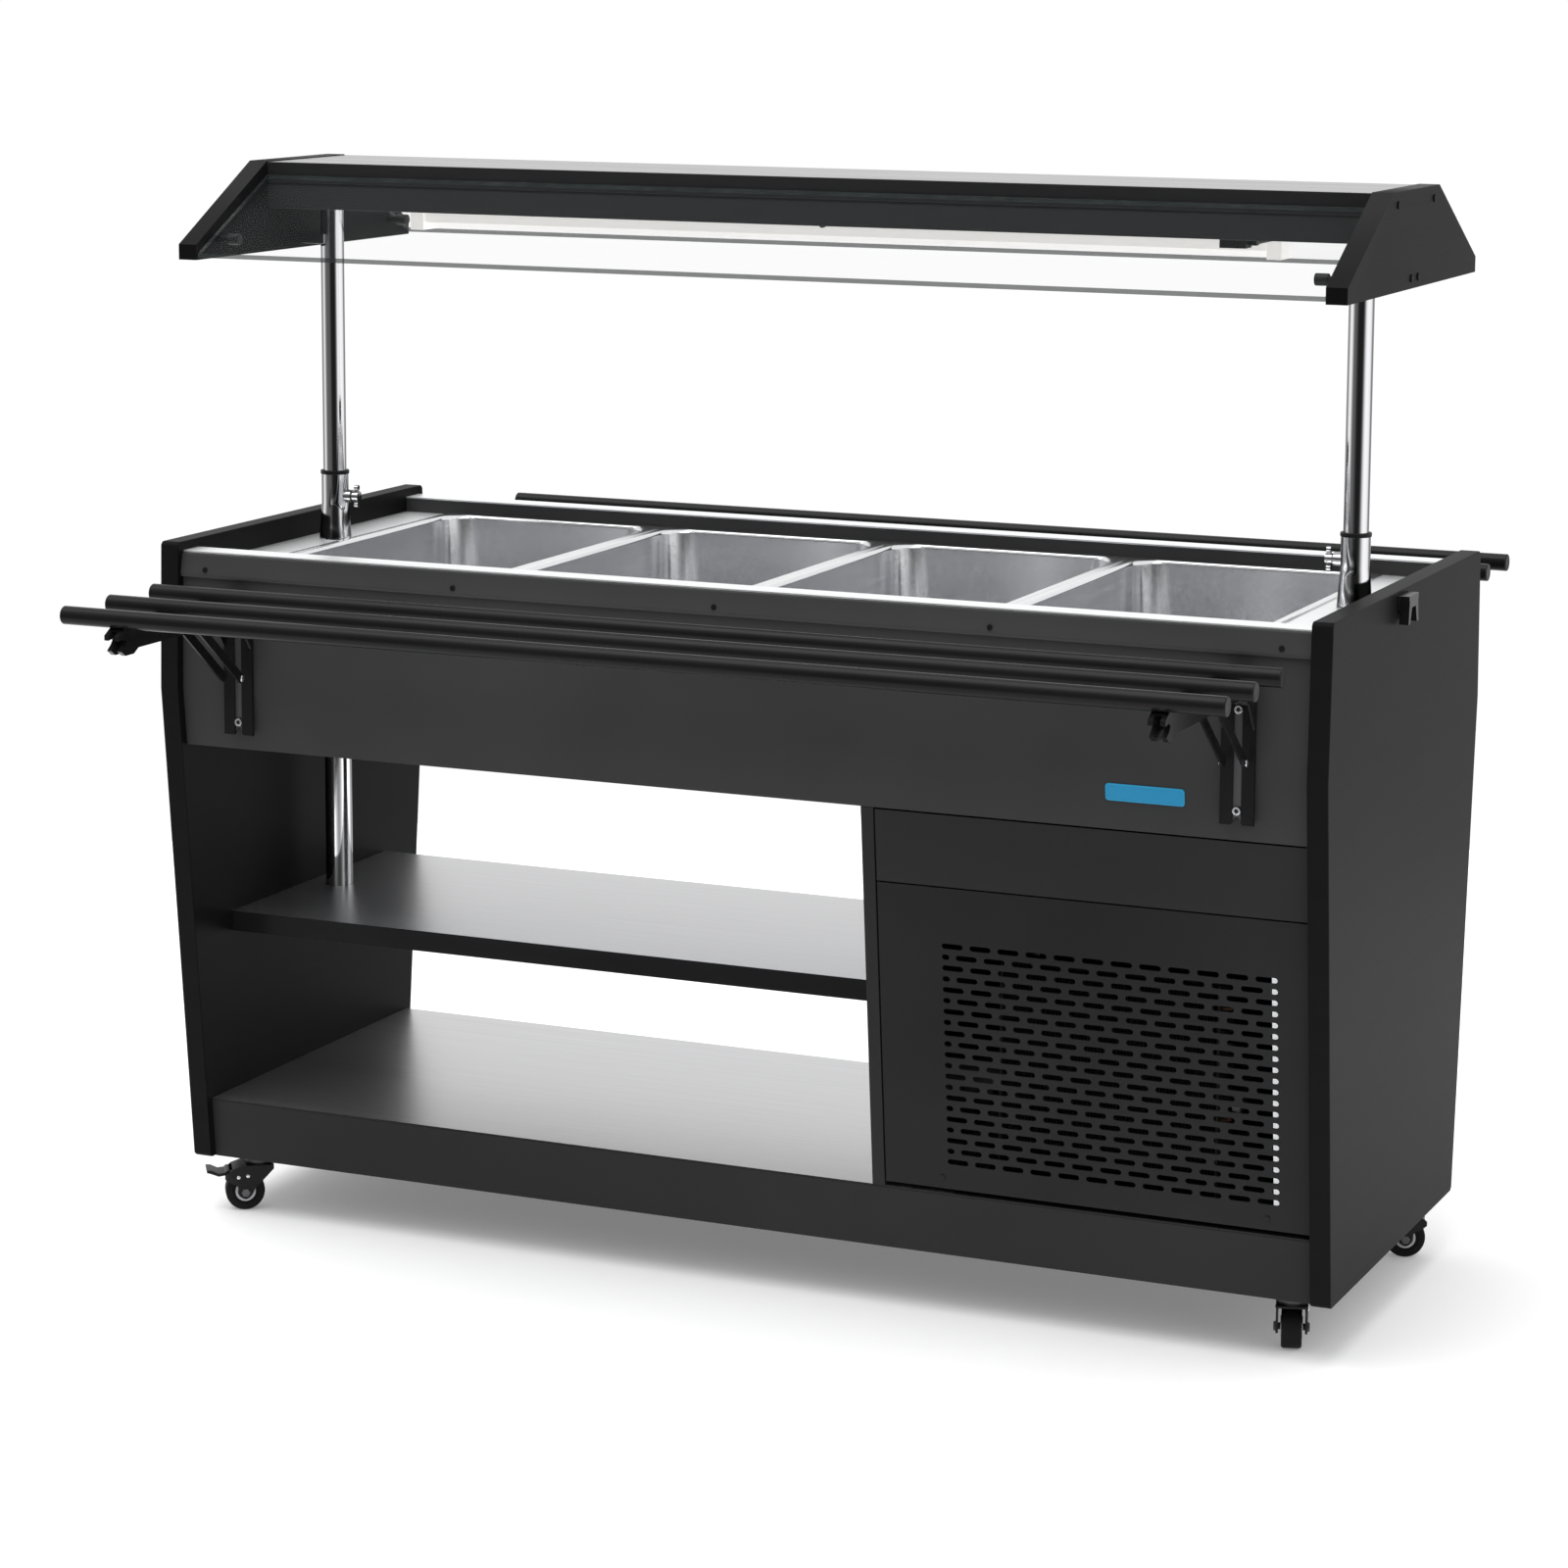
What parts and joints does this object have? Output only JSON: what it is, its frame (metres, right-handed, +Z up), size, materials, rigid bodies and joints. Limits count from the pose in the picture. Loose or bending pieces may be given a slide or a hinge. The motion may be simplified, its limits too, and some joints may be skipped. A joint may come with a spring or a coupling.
{
  "type": "refrigerated buffet counter",
  "caption": "Wheeled buffet counter with gastronorm pans, a glass canopy on sliding posts, folding tray slides and a cooling compartment.",
  "frame": {"origin": "centre of the counter's footprint, on the floor that its casters stand on", "axes": "+X along the counter towards the machine compartment, +Y to the operator's side at the rear, +Z up"},
  "size_m": [1.528, 1.188, 1.331],
  "materials": {
    "end_panel_board": "satin black laminate",
    "black_sheet": "satin black powder coat",
    "shelf_sheet": "gloss black powder coat",
    "fascia_moulding": "satin black",
    "worktop_steel": "bright brushed",
    "tank_steel": "satin",
    "pan_steel": "satin drawn steel",
    "foam": "closed-cell foam",
    "casing_sheet": "galvanised",
    "copper": "bare copper",
    "valve_red": "satin red",
    "machine_black": "satin black enamel",
    "fin_aluminium": "bare fins",
    "fan_plastic": "matte",
    "chrome_tube": "polished",
    "black_plastic": "matte black",
    "lamp_body": "opal diffuser",
    "switch_green": "gloss",
    "canopy_aluminium": "satin black anodised",
    "clear_glass": "clear toughened",
    "black_steel": "satin black",
    "screw_steel": "zinc",
    "caster_black": "satin black",
    "caster_rubber": "grey hub, black tread"
  },
  "bodies": {
    "cabinet": {"left_end_panel": "end_panel_board", "right_end_panel": "end_panel_board", "base_tray": "black_sheet", "mid_shelf": "shelf_sheet", "divider_panel": "end_panel_board", "aprons": "black_sheet", "infill_panel": "black_sheet", "vent_grille": "black_sheet", "rear_panel": "black_sheet", "fascias": "fascia_moulding", "worktop": "worktop_steel", "well_tank": "tank_steel", "well_foam": "foam", "well_casing": "casing_sheet", "pan_bars": "worktop_steel", "evaporator_coil": "copper", "drain_pipe": "copper", "compressor": "machine_black", "condenser": "fin_aluminium", "post_sleeves": "chrome_tube", "sleeve_rings": "black_plastic", "tray_channels": "black_steel", "fixing_screws": "screw_steel", "side_hooks": "black_steel", "power_inlet": "black_plastic", "control_box": "black_plastic", "caster_plates": "screw_steel"},
    "drain_valve": {"drain_lever": "valve_red"},
    "condenser_fan": {"fan_blades": "fan_plastic"},
    "main_switch": {"power_switch": "switch_green"},
    "left_post_clamp": {"post_knob_left": "chrome_tube"},
    "right_post_clamp": {"post_knob_right": "chrome_tube"},
    "canopy": {"upper_posts": "chrome_tube", "canopy_end_plates": "end_panel_board", "canopy_beam": "canopy_aluminium", "glass_panels": "clear_glass", "lamp": "lamp_body"},
    "lamp_button": {"lamp_switch": "black_plastic"},
    "front_tray": {"front_tray_rack": "black_steel"},
    "front_braces": {"front_tray_braces": "black_steel"},
    "rear_tray": {"rear_tray_rack": "black_steel"},
    "rear_braces": {"rear_tray_braces": "black_steel"},
    "glass_clamp_front_left": {"glass_knob_front_left": "black_plastic"},
    "glass_clamp_front_right": {"glass_knob_front_right": "black_plastic"},
    "glass_clamp_rear_left": {"glass_knob_rear_left": "black_plastic"},
    "glass_clamp_rear_right": {"glass_knob_rear_right": "black_plastic"},
    "pan_1": {"pan_1": "pan_steel"},
    "pan_2": {"pan_2": "pan_steel"},
    "pan_3": {"pan_3": "pan_steel"},
    "pan_4": {"pan_4": "pan_steel"},
    "caster_front_left": {"caster_fork_front_left": "caster_black"},
    "wheel_front_left": {"caster_wheel_front_left": "caster_rubber"},
    "caster_front_right": {"caster_fork_front_right": "caster_black"},
    "wheel_front_right": {"caster_wheel_front_right": "caster_rubber"},
    "caster_rear_left": {"caster_fork_rear_left": "caster_black"},
    "wheel_rear_left": {"caster_wheel_rear_left": "caster_rubber"},
    "caster_rear_right": {"caster_fork_rear_right": "caster_black"},
    "wheel_rear_right": {"caster_wheel_rear_right": "caster_rubber"},
    "brake_front_left": {"caster_brake_front_left": "caster_black"},
    "brake_front_right": {"caster_brake_front_right": "caster_black"}
  },
  "joints": [
    {"name": "canopy_height", "type": "slide", "parent": "cabinet", "child": "canopy", "axis": [0, 0, 1], "range_m": [-0.15, 0.15]},
    {"name": "left_post_clamp_turn", "type": "hinge", "parent": "cabinet", "child": "left_post_clamp", "pos_m": [-0.682, 0, 0.897], "axis": [1, 0, 0], "range_deg": [0, 360]},
    {"name": "right_post_clamp_turn", "type": "hinge", "parent": "cabinet", "child": "right_post_clamp", "pos_m": [0.682, 0, 0.897], "axis": [-1, 0, 0], "range_deg": [0, 360]},
    {"name": "lamp_button_press", "type": "slide", "parent": "canopy", "child": "lamp_button", "axis": [0, 1, 0], "range_m": [0, 0.002], "stiffness_N_per_m": 150},
    {"name": "front_tray_fold", "type": "hinge", "parent": "cabinet", "child": "front_tray", "pos_m": [0, -0.327, 0.796], "axis": [1, 0, 0], "range_deg": [0, 90]},
    {"name": "front_brace_swing", "type": "hinge", "parent": "front_tray", "child": "front_braces", "pos_m": [0, -0.432, 0.796], "axis": [1, 0, 0], "range_deg": [-150, 0]},
    {"name": "rear_tray_fold", "type": "hinge", "parent": "cabinet", "child": "rear_tray", "pos_m": [0, 0.327, 0.796], "axis": [-1, 0, 0], "range_deg": [0, 90]},
    {"name": "rear_brace_swing", "type": "hinge", "parent": "rear_tray", "child": "rear_braces", "pos_m": [0, 0.432, 0.796], "axis": [-1, 0, 0], "range_deg": [-150, 0]},
    {"name": "drain_valve_turn", "type": "hinge", "parent": "cabinet", "child": "drain_valve", "pos_m": [0.3, 0.14, 0.59], "axis": [0, 1, 0], "range_deg": [0, 90]},
    {"name": "condenser_fan_spin", "type": "hinge", "parent": "cabinet", "child": "condenser_fan", "pos_m": [0.465, -0.128, 0.29], "axis": [0, -1, 0], "continuous": true},
    {"name": "main_switch_rock", "type": "hinge", "parent": "cabinet", "child": "main_switch", "pos_m": [0.536, 0.28886, 0.55558], "axis": [-1, 0, 0], "range_deg": [0, 16]},
    {"name": "glass_clamp_front_left_turn", "type": "hinge", "parent": "canopy", "child": "glass_clamp_front_left", "pos_m": [-0.719, -0.214, 1.24], "axis": [1, 0, 0], "range_deg": [0, 360]},
    {"name": "glass_clamp_front_right_turn", "type": "hinge", "parent": "canopy", "child": "glass_clamp_front_right", "pos_m": [0.719, -0.214, 1.24], "axis": [-1, 0, 0], "range_deg": [0, 360]},
    {"name": "glass_clamp_rear_left_turn", "type": "hinge", "parent": "canopy", "child": "glass_clamp_rear_left", "pos_m": [-0.719, 0.214, 1.24], "axis": [1, 0, 0], "range_deg": [0, 360]},
    {"name": "glass_clamp_rear_right_turn", "type": "hinge", "parent": "canopy", "child": "glass_clamp_rear_right", "pos_m": [0.719, 0.214, 1.24], "axis": [-1, 0, 0], "range_deg": [0, 360]},
    {"name": "pan_1_lift", "type": "slide", "parent": "cabinet", "child": "pan_1", "axis": [0, 0, 1], "range_m": [0, 0.035]},
    {"name": "pan_2_lift", "type": "slide", "parent": "cabinet", "child": "pan_2", "axis": [0, 0, 1], "range_m": [0, 0.2]},
    {"name": "pan_3_lift", "type": "slide", "parent": "cabinet", "child": "pan_3", "axis": [0, 0, 1], "range_m": [0, 0.2]},
    {"name": "pan_4_lift", "type": "slide", "parent": "cabinet", "child": "pan_4", "axis": [0, 0, 1], "range_m": [0, 0.2]},
    {"name": "caster_front_left_swivel", "type": "hinge", "parent": "cabinet", "child": "caster_front_left", "pos_m": [-0.688, -0.205, 0.06], "axis": [0, 0, 1], "continuous": true},
    {"name": "wheel_front_left_roll", "type": "hinge", "parent": "caster_front_left", "child": "wheel_front_left", "pos_m": [-0.70274, -0.21532, 0.025], "axis": [0.5736, -0.8192, 0], "continuous": true},
    {"name": "brake_front_left_press", "type": "hinge", "parent": "caster_front_left", "child": "brake_front_left", "pos_m": [-0.72077, -0.22794, 0.05], "axis": [0.5736, -0.8192, 0], "range_deg": [0, 18]},
    {"name": "caster_front_right_swivel", "type": "hinge", "parent": "cabinet", "child": "caster_front_right", "pos_m": [0.688, -0.205, 0.06], "axis": [0, 0, 1], "continuous": true},
    {"name": "wheel_front_right_roll", "type": "hinge", "parent": "caster_front_right", "child": "wheel_front_right", "pos_m": [0.68274, -0.18779, 0.025], "axis": [-0.9563, -0.2924, 0], "continuous": true},
    {"name": "brake_front_right_press", "type": "hinge", "parent": "caster_front_right", "child": "brake_front_right", "pos_m": [0.67631, -0.16675, 0.05], "axis": [-0.9563, -0.2924, 0], "range_deg": [0, 18]},
    {"name": "caster_rear_left_swivel", "type": "hinge", "parent": "cabinet", "child": "caster_rear_left", "pos_m": [-0.688, 0.205, 0.06], "axis": [0, 0, 1], "continuous": true},
    {"name": "wheel_rear_left_roll", "type": "hinge", "parent": "caster_rear_left", "child": "wheel_rear_left", "pos_m": [-0.70491, 0.21116, 0.025], "axis": [-0.342, -0.9397, 0], "continuous": true},
    {"name": "caster_rear_right_swivel", "type": "hinge", "parent": "cabinet", "child": "caster_rear_right", "pos_m": [0.688, 0.205, 0.06], "axis": [0, 0, 1], "continuous": true},
    {"name": "wheel_rear_right_roll", "type": "hinge", "parent": "caster_rear_right", "child": "wheel_rear_right", "pos_m": [0.70491, 0.21116, 0.025], "axis": [-0.342, 0.9397, 0], "continuous": true}
  ],
  "couplings": [
    {"joint": "front_brace_swing", "follows": "front_tray_fold", "ratio": -1.56},
    {"joint": "rear_brace_swing", "follows": "rear_tray_fold", "ratio": -1.56}
  ]
}
